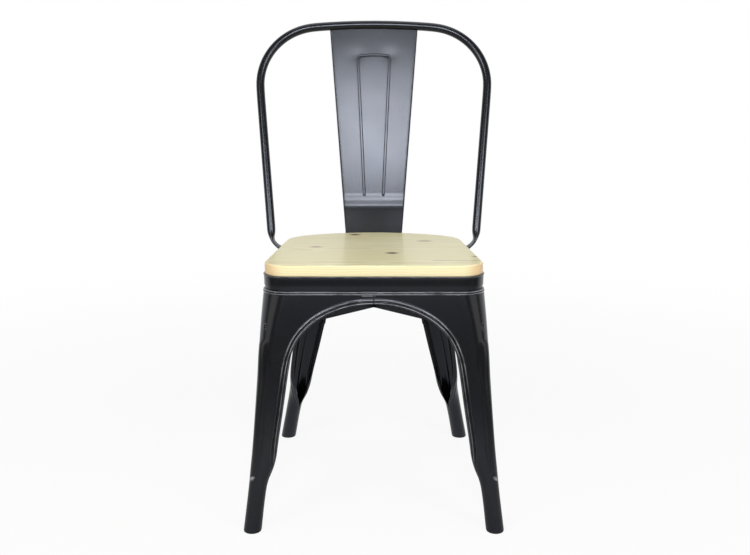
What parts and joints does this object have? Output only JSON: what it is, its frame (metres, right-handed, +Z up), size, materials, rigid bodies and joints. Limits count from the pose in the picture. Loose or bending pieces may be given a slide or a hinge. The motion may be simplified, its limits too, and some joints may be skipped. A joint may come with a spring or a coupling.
{
  "type": "metal bistro chair",
  "caption": "Stackable black metal bistro chair with pressed arch legs, a bent tube back with a flat splat, and a light pine seat board",
  "frame": {"origin": "on the floor, midway between the four feet", "axes": "+Z up, the sitter faces -Y, +X to the right seen from the front"},
  "size_m": [0.4524, 0.4801, 0.8513],
  "materials": {
    "black_paint": "satin black powder coat",
    "pine": "clear satin varnish on pale pine",
    "foot_plastic": "moulded black plastic",
    "zinc_steel": "zinc plated"
  },
  "bodies": {
    "root": {"front_left_leg": "black_paint", "front_right_leg": "black_paint", "rear_left_leg": "black_paint", "rear_right_leg": "black_paint", "seat_pan": "black_paint", "back_hoop": "black_paint", "back_splat": "black_paint", "brace_bar_a": "black_paint", "brace_bar_b": "black_paint", "apron_seam_welds": "black_paint", "hoop_foot_welds": "black_paint", "splat_foot_welds": "black_paint", "brace_welds": "black_paint", "seat_stave_1": "pine", "seat_stave_2": "pine", "seat_stave_3": "pine", "seat_stave_4": "pine", "front_left_foot_cap": "foot_plastic", "front_right_foot_cap": "foot_plastic", "rear_left_foot_cap": "foot_plastic", "rear_right_foot_cap": "foot_plastic", "seat_screws": "zinc_steel", "screw_washers": "zinc_steel"}
  },
  "joints": []
}
